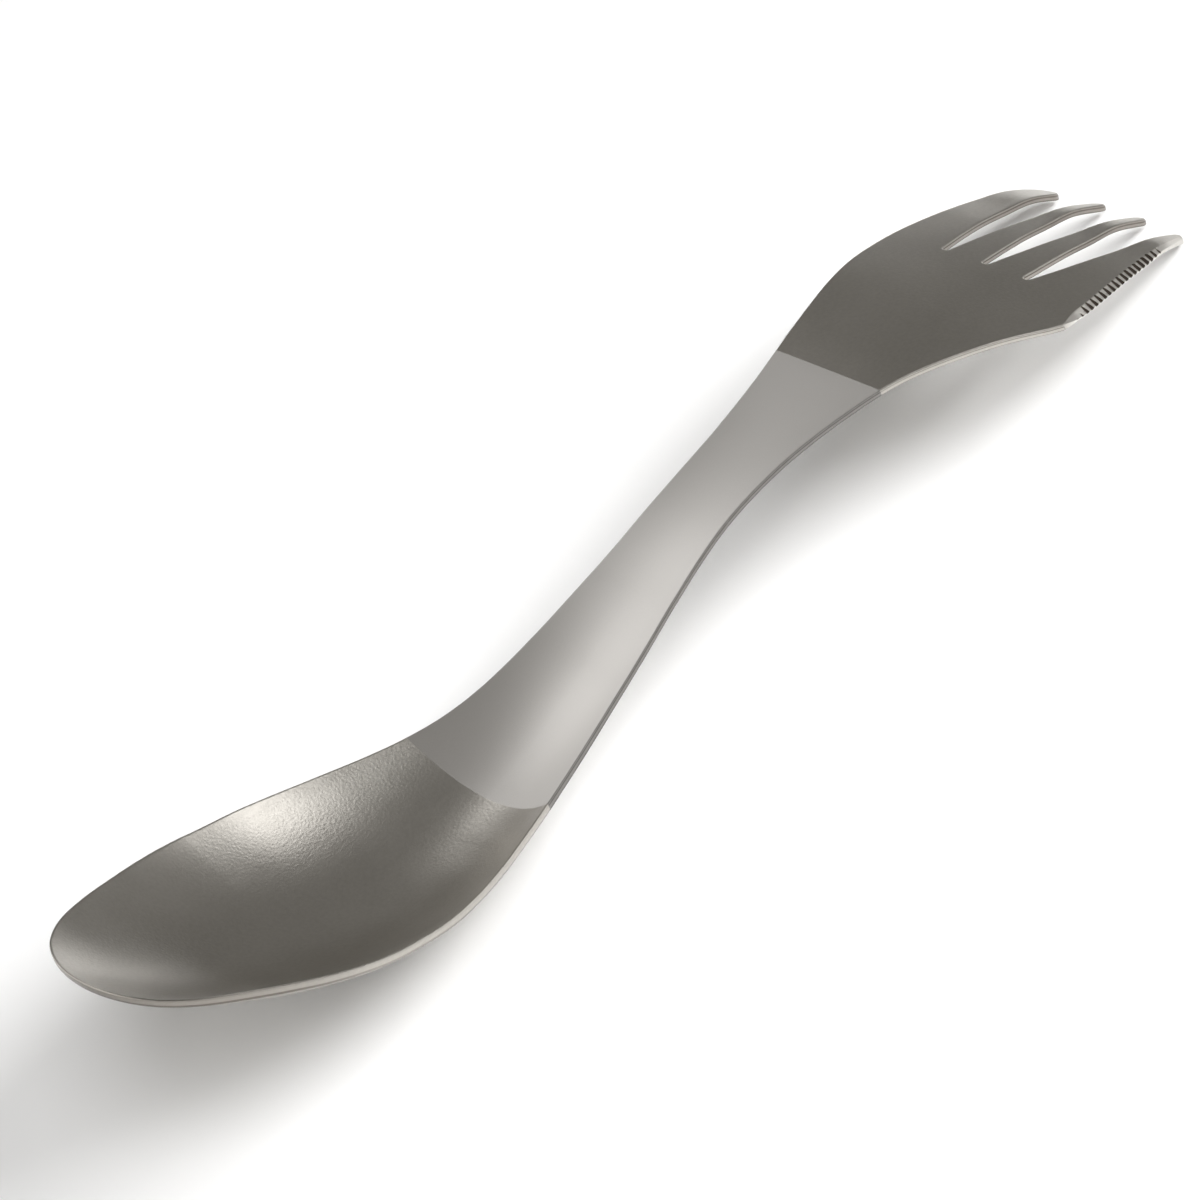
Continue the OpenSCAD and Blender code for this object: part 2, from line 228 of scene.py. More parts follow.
def pressed(x, y):
    """What the press does at x, y: rim height, dish, share of the half width, and how much
    longer the gauge measures straight down than square to the sheet."""
    step = 0.01 * MM
    x = np.clip(x, x_tip + step, x_tines - step)
    half = half_plain(x)
    side = y / half
    rim, dish = smooth(rim_points, x), smooth(dish_points, x)
    rim_slope = (smooth(rim_points, x + step) - rim) / step
    dish_slope = (smooth(dish_points, x + step) - dish) / step
    half_slope = (half_plain(x + step) - half) / step
    along = rim_slope - dish_slope * (1 - side ** 2) - 2 * dish * side ** 2 * half_slope / half
    across = 2 * dish * side / half
    return rim, dish, side, np.sqrt(1 + along ** 2 + across ** 2)


def top_z(x, y):
    """Height of the top face before the part is set down on the table."""
    rim, dish, side, _ = pressed(x, y)
    return rim - dish * (1 - side ** 2)


def bottom_z(x, y):
    """Height of the underside before the part is set down on the table."""
    return top_z(x, y) - sheet_t * pressed(x, y)[3]


# The bowl's underside is set down where the frame has it
bowl_line = np.linspace(x_tip, x_spoon_line, 400)
settle = float(bottom_z(bowl_line, 0 * bowl_line).min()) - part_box("spoon_bowl")[0].z


# Blank: the flat sheet with its soft edges, as points x, y and depth below the top face

def edge_soft(x):
    """Radius of the sheet's soft edges, larger on the spoon than on the handle and the fork."""
    return np.interp(x, (x_spoon_line - 4 * MM, x_spoon_line + 8 * MM), (spoon_soft, fork_soft))


def bevel_share(x):
    """Share of the full ground bevel along the serrated edge."""
    return smooth(bevel_shares, (x - x_heel) / (x_tines - x_heel))


def ground_share(bevel):
    """How far the ground bevel has taken the place of the soft edge, fully from bevel_blend on."""
    return np.clip(bevel / bevel_blend, 0, 1)


def bevel_at(x, y):
    """Share of the full ground bevel at places near the serrated edge, and 0 elsewhere."""
    near_edge = (x > x_heel) & (y < -slot_spacing) & (y < bevel_zone - half_serrated(x))
    return np.where(near_edge, bevel_share(x), 0)


corner_turns = np.linspace(0, math.pi / 2, 6)
support = 0.12 * MM
merge_distance = 0.002 * MM
length_steps = 150
seam_steps = 26
edge_step = 0.35 * MM


def outward(points, turn=1):
    """Unit normals of an outline in plan, to the left of its direction, or to the right with
    turn -1. At both ends they point straight across, where the zones of the sheet meet."""
    along = np.gradient(points, axis=0)
    normal = turn * np.stack([-along[:, 1], along[:, 0]], 1)
    normal /= np.linalg.norm(normal, axis=1, keepdims=True)
    for end in (0, -1):
        normal[end] = (0, math.copysign(1, points[end][1]))
    return normal


def edge_band(points, normal, soft, bevel):
    """Rings of the sheet's edge at each outline point, from inside the top face round to
    inside the underside. Bevel is the share of the full ground bevel."""
    turn = corner_turns[None, :]
    soft, bevel = soft[:, None], bevel[:, None]
    round_in, round_down = soft * (1 - np.sin(turn)), soft * (1 - np.cos(turn))
    flat = turn / (math.pi / 2)
    ground_in, ground_down = bevel_width * bevel * (1 - flat), (sheet_t - edge_t) * bevel * flat
    ground = ground_share(bevel)
    top_in = (1 - ground) * round_in + ground * ground_in
    top_down = (1 - ground) * round_down + ground * ground_down
    inset = np.concatenate([top_in[:, :1] + support, top_in,
                            round_in[:, ::-1], round_in[:, :1] + support], 1)
    depth = np.concatenate([0 * soft, top_down, sheet_t - round_down[:, ::-1], 0 * soft + sheet_t], 1)
    plan = points[:, None, :] - normal[:, None, :] * inset[..., None]
    return np.concatenate([plan, depth[..., None]], 2)


def with_core(band, core, steps):
    """Adds straight columns from the core line to the band, on the top face and the underside."""
    t = np.linspace(0, 1, steps, endpoint=False)[None, :, None]
    start = core[:, None, :]
    top = start + (band[:, :1, :2] - start) * t
    under = (start + (band[:, -1:, :2] - start) * t)[:, ::-1]
    depth = np.zeros(top.shape[:2] + (1,))
    return np.concatenate([np.concatenate([top, depth], 2), band,
                           np.concatenate([under, depth + sheet_t], 2)], 1)


def grid_faces(stations, columns, start=0):
    """Quads of a grid whose points run station by station."""
    i, k = np.meshgrid(np.arange(stations - 1), np.arange(columns - 1), indexing="ij")
    a = start + i * columns + k
    return np.stack([a, a + columns, a + columns + 1, a + 1], -1).reshape(-1, 4).tolist()


def blank_mesh(name, points, faces):
    """Closed mesh of a blank, with what the press needs stored on its points. For the painted
    shade on the sheared edge and the painted highlight on the bevel, it also stores how far
    down the sheared edge a point lies, as a share of the gauge, and how far it is ground."""
    mesh = bpy.data.meshes.new(name)
    bm = bmesh.new()
    made = [bm.verts.new((x, y, -depth)) for x, y, depth in points]
    for face in faces:
        bm.faces.new([made[i] for i in face])
    bmesh.ops.remove_doubles(bm, verts=bm.verts, dist=merge_distance)
    bmesh.ops.holes_fill(bm, edges=bm.edges, sides=0)
    bmesh.ops.recalc_face_normals(bm, faces=bm.faces)
    bm.to_mesh(mesh)
    bm.free()
    place = np.empty(len(mesh.vertices) * 3)
    mesh.vertices.foreach_get("co", place)
    x, y, z = place.reshape(-1, 3).T
    depth = -z / sheet_t
    on_edge = (depth > 0.01) & (depth < 0.99)
    bevel = bevel_at(x, y)
    attributes = dict(zip(press_values, pressed(x, y)))
    attributes["down"] = np.where(on_edge, depth * (1 - ground_share(bevel)), 0)
    attributes["ground"] = np.where(on_edge, bevel, 0)
    for key, values in attributes.items():
        mesh.attributes.new(key, "FLOAT", "POINT").data.foreach_set("value", values)
    return new_object(name, mesh)


def spoon_blank():
    """Blank of the spoon end: columns fan from a line along the middle out to the rim."""
    dense = x_tip + (x_spoon_line - x_tip) * np.linspace(0, 1, 4000) ** 2
    length = np.concatenate([[0], np.cumsum(np.hypot(np.diff(dense), np.diff(half_plain(dense))))])
    share = np.linspace(0, 1, length_steps)
    x = np.interp(share * length[-1], length, dense)
    x[0], x[-1] = x_tip, x_spoon_line
    rim = np.stack([x, half_plain(x)], 1)
    rim[0, 1] = 0
    outline = np.concatenate([rim[:0:-1], rim * (1, -1)])
    shares = np.concatenate([share[:0:-1], share])
    fan_start = x_tip + 11 * MM
    core = np.stack([fan_start + (x_spoon_line - fan_start) * shares, 0 * shares], 1)
    band = edge_band(outline, outward(outline, -1), edge_soft(outline[:, 0]), 0 * shares)
    grid = with_core(band, core, steps=30)
    return blank_mesh("spoon_blank", grid.reshape(-1, 3), grid_faces(*grid.shape[:2]))


def handle_blank():
    """Blank of the handle: straight columns from the middle line out to both edges."""
    x = np.linspace(x_spoon_line, x_fork_line, length_steps)
    points, faces = [], []
    for side, half in ((1, half_plain), (-1, half_serrated)):
        outline = np.stack([x, side * half(x)], 1)
        band = edge_band(outline, outward(outline, side), edge_soft(x), 0 * x)
        grid = with_core(band, np.stack([x, 0 * x], 1), steps=24)
        faces += grid_faces(*grid.shape[:2], start=len(points))
        points += grid.reshape(-1, 3).tolist()
    return blank_mesh("handle_blank", points, faces)


class Tine:
    """One tine between two edges in plan, with a rounded tip. Each edge rounds over a length
    of its own, and the tip stands at a share of the way from the lower edge to the upper."""

    def __init__(self, upper, lower, x_end, upper_round, lower_round, tip_share):
        self.upper, self.lower = upper, lower
        self.x_end, self.tip_share = x_end, tip_share
        self.rounds = (upper_round, lower_round)

    def tip(self):
        """Outline points of the tip, from the upper edge round to the lower edge."""
        turn = np.linspace(0, math.pi / 2, 10)
        sides = ((self.upper, self.rounds[0], turn), (self.lower, self.rounds[1], turn[::-1]))
        rows = []
        for edge, length, angle in sides:
            x = self.x_end - length + length * np.sin(angle)
            middle = self.lower(x) + self.tip_share * (self.upper(x) - self.lower(x))
            rows.append(np.stack([x, middle + (edge(x) - middle) * np.cos(angle)], 1))
        return np.concatenate([rows[0], rows[1][1:]])

    def along(self, edge, start, length):
        """Points of an edge from start up to where the tip begins to round."""
        steps = max(2, int((self.x_end - length - start) / edge_step))
        x = np.linspace(start, self.x_end - length, steps, endpoint=False)
        return np.stack([x, edge(x)], 1)


def tines():
    """The four tines from the plain side to the serrated side."""
    outer_end = x_tines - outer_tine_back

    def outer_side(x):
        return slot_middle(x) + slot_half(x)

    def inner_side(x):
        return slot_middle(x) - slot_half(x)

    return [
        Tine(half_plain, outer_side, outer_end - plain_tip_back,
             upper_round=1.6 * MM, lower_round=1.5 * MM, tip_share=0.45),
        Tine(inner_side, slot_half, x_tines,
             upper_round=1.6 * MM, lower_round=1.2 * MM, tip_share=0.4),
        Tine(lambda x: -slot_half(x), lambda x: -inner_side(x), x_tines,
             upper_round=1.6 * MM, lower_round=1.2 * MM, tip_share=0.4),
        Tine(lambda x: -outer_side(x), lambda x: -half_serrated(x), outer_end,
             upper_round=1.0 * MM, lower_round=0.7 * MM, tip_share=0.5),
    ]


def fork_outline():
    """Outline of the fork in plan, from the plain side's end of the finish line, round the
    tines and back to the serrated side's end."""
    row = tines()
    x_slot = x_root + slot_root_r
    turn = np.linspace(0, math.pi, 14)[1:-1]
    runs = []
    for i, tine in enumerate(row):
        runs.append(tine.along(tine.upper, x_slot if i else x_fork_line, tine.rounds[0]))
        runs.append(tine.tip())
        last = i == len(row) - 1
        runs.append(tine.along(tine.lower, x_fork_line if last else x_slot, tine.rounds[1])[::-1])
        if not last:
            y0, y1 = float(tine.lower(x_slot)), float(row[i + 1].upper(x_slot))
            y = (y0 + y1) / 2 + (y0 - y1) / 2 * np.cos(turn)
            runs.append(np.stack([x_slot - slot_root_r * np.sin(turn), y], 1))
    return np.concatenate(runs)


def inside(points, loop):
    """Which points lie inside a closed loop."""
    x, y = points[:, :1], points[:, 1:]
    x0, y0 = loop[:, 0][None], loop[:, 1][None]
    x1, y1 = np.roll(x0, -1), np.roll(y0, -1)
    with np.errstate(divide="ignore", invalid="ignore"):
        crossing = ((y0 > y) != (y1 > y)) & (x < (x1 - x0) * (y - y0) / (y1 - y0) + x0)
    return crossing.sum(1) % 2 == 1


def filled(loop, pitch, margin):
    """Triangles that fill a loop, with an even field of points inside it."""
    low, high = loop.min(0), loop.max(0)
    xs, ys = np.arange(low[0], high[0], pitch), np.arange(low[1], high[1], pitch * math.sqrt(3) / 2)
    field = np.array([(x + (j % 2) * pitch / 2, y) for j, y in enumerate(ys) for x in xs])
    field = field[inside(field, loop)]
    near = np.array([np.hypot(*(loop - p).T).min() for p in field])
    field = field[near > margin]
    points = np.concatenate([loop, field])
    ring = [(i, (i + 1) % len(loop)) for i in range(len(loop))]
    flat, _, triangles, *_ = delaunay_2d_cdt([Vector(p) for p in points / MM], ring, [], 1, 1e-6)
    return np.array([tuple(p) for p in flat]) * MM, [tuple(t) for t in triangles]


def fork_blank():
    """Blank of the fork: a band of rings round the outline, filled on both faces."""
    outline = fork_outline()
    x, y = outline.T
    serrated = (y < -slot_spacing) & (np.abs(y + half_serrated(x)) < 0.01 * MM) & (x > x_heel)
    to_tip = np.clip((x - (x_tines - tip_soft_run)) / tip_soft_run, 0, 1)
    soft = edge_soft(x) + (tip_soft - fork_soft) * to_tip ** 2
    band = edge_band(outline, outward(outline), soft, np.where(serrated, bevel_share(x), 0))
    stations, columns = band.shape[:2]
    points, faces = band.reshape(-1, 3).tolist(), grid_faces(stations, columns)
    for ring, depth, turn in ((band[:, 0, :2], 0, 1), (band[:, -1, :2], sheet_t, -1)):
        line = np.linspace(ring[-1], ring[0], seam_steps)[1:-1]
        flat, triangles = filled(np.concatenate([ring, line]), pitch=0.8 * MM, margin=0.5 * MM)
        start = len(points)
        points += [(px, py, depth) for px, py in flat]
        faces += [tuple(start + i for i in t[::turn]) for t in triangles]
    return blank_mesh("fork_blank", points, faces)


# Node trees

class Value:
    """A socket that can stand in a sum or a product."""

    def __init__(self, graph, socket):
        self.graph, self.socket = graph, socket

    def _math(self, operation, first, second):
        return self.graph.add("ShaderNodeMath", {0: first, 1: second}, operation=operation)["Value"]

    def __add__(self, other):
        return self._math("ADD", self, other)

    def __sub__(self, other):
        return self._math("SUBTRACT", self, other)

    def __rsub__(self, other):
        return self._math("SUBTRACT", other, self)

    def __mul__(self, other):
        return self._math("MULTIPLY", self, other)

    def __truediv__(self, other):
        return self._math("DIVIDE", self, other)

    def at_most(self, other):
        """The smaller of the two values."""
        return self._math("MINIMUM", self, other)

    __radd__ = __add__
    __rmul__ = __mul__


class Graph:
    """A node tree that is written as Python expressions."""

    def __init__(self, tree):
        self.tree = tree

    def add(self, kind, inputs=None, **settings):
        """Adds a node with its inputs and its settings, and returns its outputs by name."""
        node = self.tree.nodes.new(kind)
        for key, value in settings.items():
            setattr(node, key, value)
        for key, value in (inputs or {}).items():
            if isinstance(value, Value):
                self.tree.links.new(value.socket, node.inputs[key])
            else:
                node.inputs[key].default_value = value
        return {socket.name: Value(self, socket) for socket in node.outputs if socket.enabled}

    def parts(self, vector):
        """The X, Y and Z of a vector."""
        return self.add("ShaderNodeSeparateXYZ", {"Vector": vector})

    def combined(self, **parts):
        """A vector from its X, Y and Z, which are 0 unless given."""
        return self.add("ShaderNodeCombineXYZ", parts)["Vector"]


class Shaper(Graph):
    """A Geometry Nodes tree with named inputs that works on one piece."""

    def __init__(self, name, **inputs):
        super().__init__(bpy.data.node_groups.new(name, "GeometryNodeTree"))
        new_socket = self.tree.interface.new_socket
        new_socket("Geometry", in_out="INPUT", socket_type="NodeSocketGeometry")
        self.keys = {label: new_socket(label, in_out="INPUT", socket_type=kind).identifier
                     for label, kind in inputs.items()}
        new_socket("Geometry", in_out="OUTPUT", socket_type="NodeSocketGeometry")
        self.given = self.add("NodeGroupInput")

    def stored(self, name):
        """A value stored on the points."""
        found = self.add("GeometryNodeInputNamedAttribute", {"Name": name}, data_type="FLOAT")
        return found["Attribute"]

    def vector(self, operation, first, second=(0, 0, 0)):
        """A vector from one vector or two."""
        return self.add("ShaderNodeVectorMath", {0: first, 1: second}, operation=operation)["Vector"]

    def scaled(self, vector, by):
        """A vector times a value."""
        return self.add("ShaderNodeVectorMath", {0: vector, "Scale": by}, operation="SCALE")["Vector"]

    def end(self, geometry):
        """Closes the tree with real geometry in the finish that is given to it."""
        real = self.add("GeometryNodeRealizeInstances", {"Geometry": geometry})["Geometry"]
        done = self.add("GeometryNodeSetMaterial", {"Geometry": real, "Material": self.given["Finish"]})
        self.add("NodeGroupOutput", {"Geometry": done["Geometry"]})

    def shape(self, piece, name, **values):
        """Runs the tree on a piece and returns the plain mesh that it makes as a new piece."""
        step = piece.modifiers.new("shape", "NODES")
        step.node_group = self.tree
        for label, value in values.items():
            step[self.keys[label]] = value
        seen = piece.evaluated_get(bpy.context.evaluated_depsgraph_get())
        mesh = bpy.data.meshes.new_from_object(seen)
        mesh.name = name
        bpy.data.objects.remove(piece)
        return new_object(name, mesh)


def press_tool():
    """Presses a flat blank: the middle sinks by the dish below the rim, and the gauge is kept."""
    tool = Shaper("press", Settle="NodeSocketFloat", Finish="NodeSocketMaterial")
    flat = tool.parts(tool.add("GeometryNodeInputPosition")["Position"])
    side = tool.stored("side")
    top = tool.stored("rim") - tool.stored("dish") * (1 - side * side)
    height = top + flat["Z"] * tool.stored("slant") - tool.given["Settle"]
    place = tool.combined(X=flat["X"], Y=flat["Y"], Z=height)
    moved = tool.add("GeometryNodeSetPosition", {"Geometry": tool.given["Geometry"], "Position": place})
    tool.end(moved["Geometry"])
    return tool


def groove_tool():
    """Cuts a row of round grooves across the bevel, smaller at both ends of the row."""
    tool = Shaper("grooves", Edge="NodeSocketObject", Count="NodeSocketInt", Radius="NodeSocketFloat",
                  Reach="NodeSocketFloat", Tilt="NodeSocketFloat", Finish="NodeSocketMaterial")
    radius, count, tilt = (tool.given[label] for label in ("Radius", "Count", "Tilt"))
    edge = tool.add("GeometryNodeObjectInfo", {"Object": tool.given["Edge"]})["Geometry"]
    places = tool.add("GeometryNodeResampleCurve", {"Curve": edge, "Count": count})["Curve"]
    tangent = tool.add("GeometryNodeInputTangent")["Tangent"]
    out = tool.vector("NORMALIZE", tool.vector("CROSS_PRODUCT", tangent, (0, 0, 1)))
    sine = tool.add("ShaderNodeMath", {0: tilt}, operation="SINE")["Value"]
    cosine = tool.add("ShaderNodeMath", {0: tilt}, operation="COSINE")["Value"]
    axis = tool.vector("ADD", tool.scaled(out, cosine), tool.combined(Z=0 - sine))
    outward_shift = tool.scaled(out, radius * sine - tool.given["Reach"])
    shift = tool.vector("ADD", outward_shift, tool.combined(Z=radius * cosine))
    moved = tool.add("GeometryNodeSetPosition", {"Geometry": places, "Offset": shift})["Geometry"]
    turned = tool.add("FunctionNodeAlignRotationToVector", {"Vector": axis}, axis="Z")["Rotation"]
    index = tool.add("GeometryNodeInputIndex")["Index"]
    size = (groove_end_size + groove_size_step * index.at_most(count - 1 - index)).at_most(1)
    bit = tool.add("GeometryNodeMeshCylinder", {"Vertices": 24, "Radius": radius, "Depth": radius * 8},
                   fill_type="NGON")["Mesh"]
    bits = tool.add("GeometryNodeInstanceOnPoints", {
        "Points": moved, "Instance": bit, "Rotation": turned,
        "Scale": tool.combined(X=size, Y=size, Z=1.0)})["Instances"]
    bits = tool.add("GeometryNodeRealizeInstances", {"Geometry": bits})["Geometry"]
    bits = tool.add("GeometryNodeStoreNamedAttribute", {"Geometry": bits, "Name": "cut", "Value": 1.0},
                    data_type="FLOAT", domain="FACE")["Geometry"]
    cut = tool.add("GeometryNodeMeshBoolean", {"Mesh 1": tool.given["Geometry"], "Mesh 2": bits},
                   operation="DIFFERENCE", solver="EXACT")["Mesh"]
    tool.end(cut)
    return tool


# Finishes

polished_low, polished_high = (0.44, 0.42, 0.385), (0.62, 0.594, 0.553)
# Painted shade on the polished edge walls
polished_edge_shade = (0.17, 0.15, 0.13)
# Painted highlight on the ground bevel
bevel_highlight = (0.76, 0.74, 0.705)
# Grooves: partly their darker cut metal, partly painted shade in the recess
cut_metal_and_shade = (0.07, 0.055, 0.045)
blasted_low, blasted_high = (0.55, 0.535, 0.515), (0.60, 0.583, 0.565)
# Painted shade towards the far side of the neck
blasted_neck_shade = (0.22, 0.205, 0.185)
# Painted shade on the blasted edge walls
blasted_edge_shade = (0.17, 0.16, 0.15)

# Bands of painted shade on the sheared edge, a painted dark line and painted shade under the lower
# corner, each a middle and a half width in shares of the gauge
painted_line_band = (0.34, 0.12)
corner_shade_band = (0.9, 0.16)

# How far the painted shade on the edge walls and the painted dark line reach round the tines and the
# spoon's tip, and how far the painted shade reaches round the neck
tine_zone = tine_length + 8 * MM
painted_line_zone = 75 * MM
tip_zone = 24 * MM
neck_zone = 30 * MM
neck_side = 12 * MM

# Height of the fine relief
dent_height = 0.021 * MM
blast_height = 0.03 * MM


def empty_tree(owner):
    """Emptied node tree of a material or the world."""
    owner.use_nodes = True
    owner.node_tree.nodes.clear()
    return Graph(owner.node_tree)


def metal(name, look):
    """A bare metal whose colour, roughness and normal come from a look."""
    finish = bpy.data.materials.new(name)
    graph = empty_tree(finish)
    colour, roughness, normal = look(graph)
    surface = graph.add("ShaderNodeBsdfPrincipled", {
        "Base Color": colour, "Metallic": 1.0, "Roughness": roughness, "Normal": normal})["BSDF"]
    graph.add("ShaderNodeOutputMaterial", {"Surface": surface})
    return finish


def object_place(graph, scale=(1, 1, 1)):
    """Place in the object's own coordinates, scaled along each axis."""
    place = graph.add("ShaderNodeTexCoord")["Object"]
    return graph.add("ShaderNodeMapping", {"Vector": place, "Scale": scale})["Vector"]


def noise(graph, place, scale=1.0, detail=2.0):
    """Even random pattern, finer with a larger scale."""
    return graph.add("ShaderNodeTexNoise", {"Vector": place, "Scale": scale, "Detail": detail})["Fac"]


def stored(graph, name):
    """A value stored on the piece."""
    return graph.add("ShaderNodeAttribute", attribute_name=name)["Fac"]


def between(graph, share, low, high):
    """Colour that runs from low to high, each a colour or a socket."""
    low, high = (end if isinstance(end, Value) else (*end, 1) for end in (low, high))
    return graph.add("ShaderNodeMix", {0: share, 6: low, 7: high}, data_type="RGBA")["Result"]


def bumped(graph, height, distance, strength=1.0):
    """Normal of a surface with fine relief."""
    return graph.add("ShaderNodeBump", {
        "Strength": strength, "Distance": distance, "Height": height})["Normal"]


def hump(value, middle, half):
    """1 in the middle of a band of values and 0 outside it."""
    off = (value - middle) / half
    return 1 - (off * off).at_most(1)


def painted_edge_shade(graph, wall_shade, painted_line):
    """How much painted shade the sheared edge gets: painted shade all the way down the wall
    in place of darker reflections, a painted dark line across the wall, and painted shade
    where the lower corner turns under."""
    down = stored(graph, "down")
    wall = (14 * down).at_most(1)
    # Painted shade and a painted dark line on the edge wall
    return (wall_shade * wall + painted_line * hump(down, *painted_line_band) + 0.6 * hump(down, *corner_shade_band)).at_most(1)


def polished_titanium(graph):
    """Tumbled and polished sheet: fine dents that break up its highlights, faint cloudiness,
    handling scratches, painted shade and a painted dark line on the sheared edge, a painted
    highlight on the ground bevel, and grooves dark partly from their cut metal and partly
    from painted shade."""
    place = object_place(graph)
    cloud = noise(graph, place, scale=90.0)
    grain = noise(graph, place, scale=2100.0, detail=3.0)
    dents = noise(graph, place, scale=3000.0, detail=3.0)
    scratch = noise(graph, object_place(graph, scale=(220, 2600, 900)), detail=3.0)
    cut, ground = stored(graph, "cut"), stored(graph, "ground")
    along = graph.parts(place)["X"]
    # Amounts of painted shade on the edge walls and of the painted dark line along the length
    wall_shade = 0.02 + 0.55 * hump(along, x_tines, tine_zone) + 0.6 * hump(along, x_tip, tip_zone)
    painted_line = 0.1 + 0.8 * hump(along, x_tines, painted_line_zone)
    plain = between(graph, 0.4 * cloud + 0.6 * grain, polished_low, polished_high)
    # Painted shade on the edge walls, strongest near the tines and the spoon's tip
    edge_shaded = between(graph, painted_edge_shade(graph, wall_shade, painted_line), plain, polished_edge_shade)
    # Painted highlight on the ground bevel, and grooves dark partly from their cut metal and partly from
    # painted shade
    colour = between(graph, cut, between(graph, ground, edge_shaded, bevel_highlight), cut_metal_and_shade)
    roughness = 0.24 + 0.1 * cloud + 0.06 * scratch + 0.2 * cut
    return colour, roughness, bumped(graph, dents + 0.12 * scratch, dent_height)


def blasted_titanium(graph):
    """Bead-blasted sheet: an even fine grain with a dull sheen, painted shade that darkens it
    towards the far side of the neck, and painted shade on the sheared edge."""
    place = object_place(graph)
    grain = noise(graph, place, scale=5200.0, detail=3.0)
    cloud = noise(graph, place, scale=60.0)
    where = graph.parts(place)
    # Painted shade, darker towards the far side of the neck
    neck_shade = hump(where["X"], x_spoon_line, neck_zone) * hump(where["Y"], neck_side, neck_side)
    full = between(graph, cloud, blasted_low, blasted_high)
    plain = between(graph, 0.45 * neck_shade, full, blasted_neck_shade)
    # Painted shade and a painted dark line on the edge walls
    colour = between(graph, painted_edge_shade(graph, wall_shade=0.6, painted_line=0.4), plain, blasted_edge_shade)
    roughness = 0.58 + 0.08 * grain
    return colour, roughness, bumped(graph, grain, blast_height, strength=0.35)


# Pieces

crease_angle = math.radians(33)


def finish_piece(piece, node):
    """Smooth shading with crisp creases, and the piece's place in the frame."""
    mesh = piece.data
    mesh.polygons.foreach_set("use_smooth", [True] * len(mesh.polygons))
    mesh.set_sharp_from_angle(angle=crease_angle)
    for key in press_values:
        if key in mesh.attributes:
            mesh.attributes.remove(mesh.attributes[key])
    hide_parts(node)
    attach(piece, "root")


def cutting_edge():
    """Line along the ground edge, from the first groove to the last."""
    first = x_heel + groove_start
    x = np.linspace(first, first + (groove_count - 1) * groove_pitch, 60)
    y = -half_serrated(x)
    z = top_z(x, y) - settle
    curve = bpy.data.curves.new("cutting_edge", "CURVE")
    curve.dimensions = "3D"
    spline = curve.splines.new("POLY")
    spline.points.add(len(x) - 1)
    spline.points.foreach_set("co", np.stack([x, y, z, 1 + 0 * x], 1).ravel())
    return new_object("cutting_edge", curve)


def build_spork():
    """The three zones of the sheet in their finishes."""
    polished = metal("polished_titanium", polished_titanium)
    blasted = metal("blasted_titanium", blasted_titanium)
    press = press_tool()
    spoon = press.shape(spoon_blank(), "spoon_end", Settle=settle, Finish=polished)
    handle = press.shape(handle_blank(), "blasted_handle", Settle=settle, Finish=blasted)
    fork = press.shape(fork_blank(), "fork_end_plain", Settle=settle, Finish=polished)
    edge = cutting_edge()
    fork = groove_tool().shape(fork, "fork_end", Edge=edge, Count=groove_count, Radius=groove_r,
                               Reach=groove_reach, Tilt=groove_tilt, Finish=polished)
    bpy.data.objects.remove(edge)
    finish_piece(spoon, "spoon_bowl")
    finish_piece(handle, "handle")
    finish_piece(fork, "fork_head")


# Stage

floor_half = 4.0
floor_colour = (0.86, 0.86, 0.86, 1)
floor_glow = 0.06
room_colour = (0.205, 0.2, 0.19, 1)


def floor():
    """Pale floor that stays white round the object and keeps its shadow."""
    mesh = bpy.data.meshes.new("floor")
    corners = [(x * floor_half, y * floor_half, 0) for x, y in ((-1, -1), (1, -1), (1, 1), (-1, 1))]
    mesh.from_pydata(corners, [], [(0, 1, 2, 3)])
    plane = new_object("floor", mesh)
    paint = bpy.data.materials.new("floor_paint")
    graph = empty_tree(paint)
    ray = graph.add("ShaderNodeLightPath")
    seen = ray["Is Camera Ray"] + ray["Is Glossy Ray"] + ray["Is Transmission Ray"]
    card = graph.add("ShaderNodeBsdfPrincipled", {
        "Base Color": floor_colour, "Roughness": 0.9, "Specular IOR Level": 0.0,
        "Emission Color": between(graph, seen.at_most(1), (0, 0, 0), (1, 1, 1)),
        "Emission Strength": floor_glow})["BSDF"]
    graph.add("ShaderNodeOutputMaterial", {"Surface": card})
    plane.data.materials.append(paint)


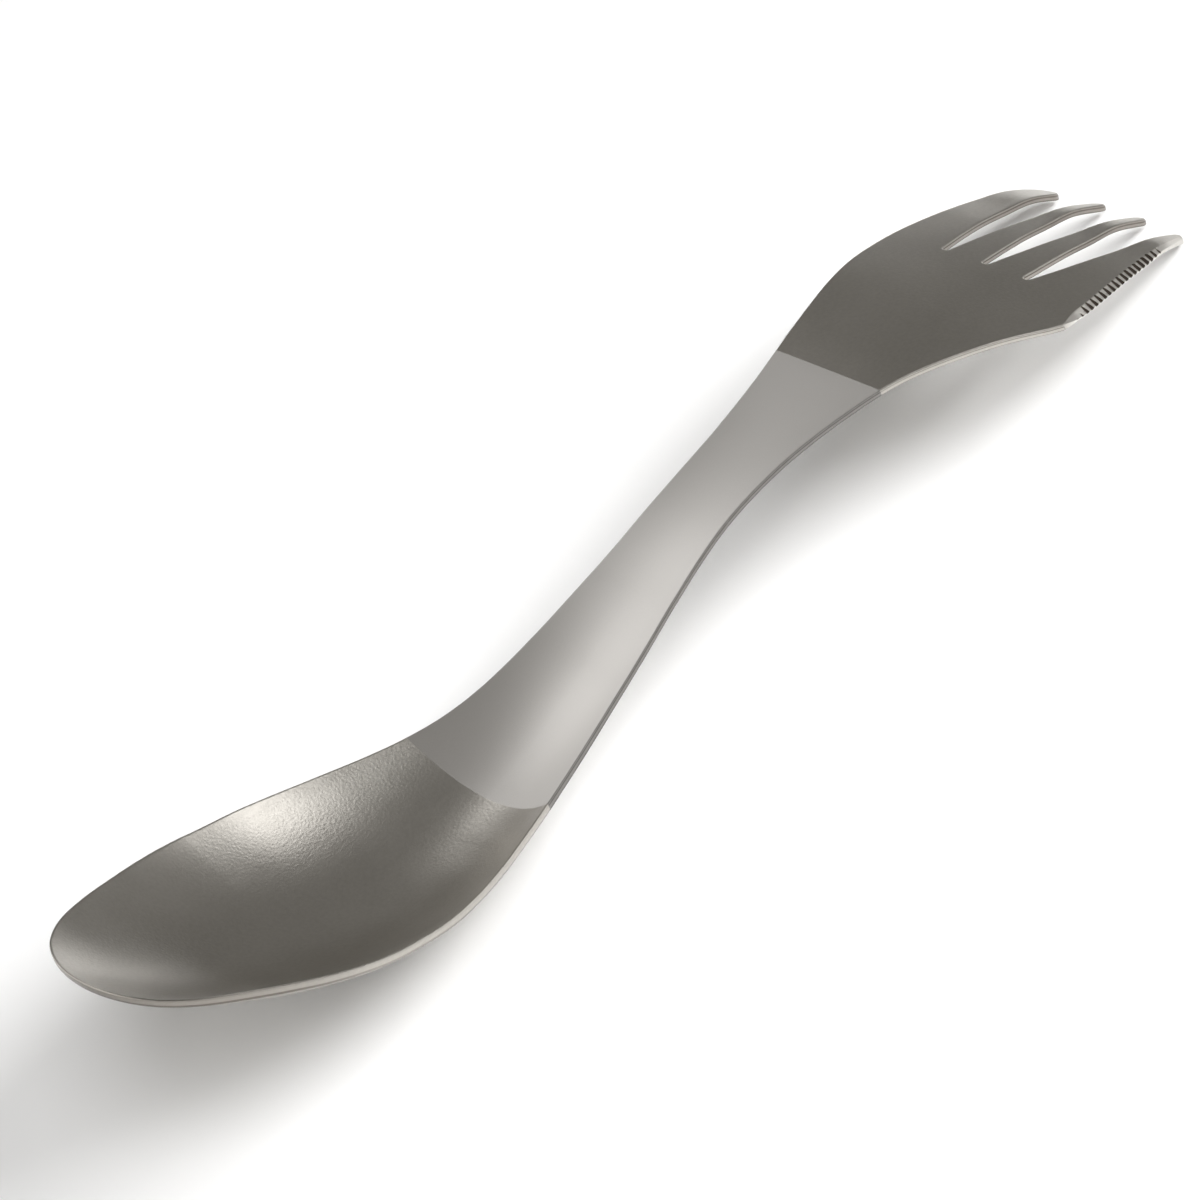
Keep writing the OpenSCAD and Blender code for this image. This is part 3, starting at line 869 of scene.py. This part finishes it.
def lamp(name, direction, distance, size, power, on_metal):
    """Soft light that looks at the object from a direction, for the metal or for the floor."""
    data = bpy.data.lights.new(name, "AREA")
    data.shape = "RECTANGLE"
    data.size, data.size_y = size
    data.energy = power
    light = new_object(name, data)
    away = Vector(direction).normalized()
    light.visible_camera = False
    light.visible_glossy, light.visible_diffuse = on_metal, not on_metal
    light.location = away * distance
    light.rotation_euler = away.to_track_quat("Z", "Y").to_euler()


def lights():
    """Dim grey room, three soft lights for the metal and two for the floor."""
    world = bpy.data.worlds.new("studio")
    bpy.context.scene.world = world
    graph = empty_tree(world)
    room = graph.add("ShaderNodeBackground", {"Color": room_colour, "Strength": 1.0})["Background"]
    graph.add("ShaderNodeOutputWorld", {"Surface": room})
    lamp("back_softbox", direction=(-0.68, 0.673, 0.291), distance=1.2,
         size=(2.9, 2.6), power=47.4, on_metal=True)
    lamp("front_softbox", direction=(0.82, -0.533, 0.208), distance=1.1,
         size=(0.51, 0.79), power=1.35, on_metal=True)
    lamp("bowl_card", direction=(0.429, -0.46, 0.777), distance=1.1,
         size=(0.55, 0.4), power=1.9, on_metal=True)
    lamp("table_side", direction=(0.767, -0.391, 0.509), distance=1.1,
         size=(0.92, 0.3), power=15.5, on_metal=False)
    lamp("table_top", direction=(-0.252, -0.42, 0.872), distance=1.1,
         size=(0.85, 1.57), power=9.0, on_metal=False)


def camera():
    """The photograph's view: from the near left and above, rolled so that the fork is high."""
    azimuth, elevation, roll = (math.radians(a) for a in (-32.118, 38.543, -21.284))
    distance, aim = 749.8 * MM, Vector((-1.02, 6.66, 6.40)) * MM
    data = bpy.data.cameras.new("camera")
    data.sensor_width = 36
    data.lens = 193.73
    data.clip_start, data.clip_end = 0.01, 50
    eye = new_object("camera", data)
    back = Vector((math.sin(azimuth) * math.cos(elevation), -math.cos(azimuth) * math.cos(elevation),
                   math.sin(elevation)))
    right = Vector((math.cos(azimuth), math.sin(azimuth), 0))
    turned_right = math.cos(roll) * right + math.sin(roll) * back.cross(right)
    turned_up = back.cross(turned_right)
    turn = Matrix((turned_right, turned_up, back)).transposed()
    eye.matrix_world = Matrix.Translation(aim + back * distance) @ turn.to_4x4()
    bpy.context.scene.camera = eye


bpy.context.scene.view_settings.view_transform = "Standard"
camera()
floor()
lights()
build_spork()
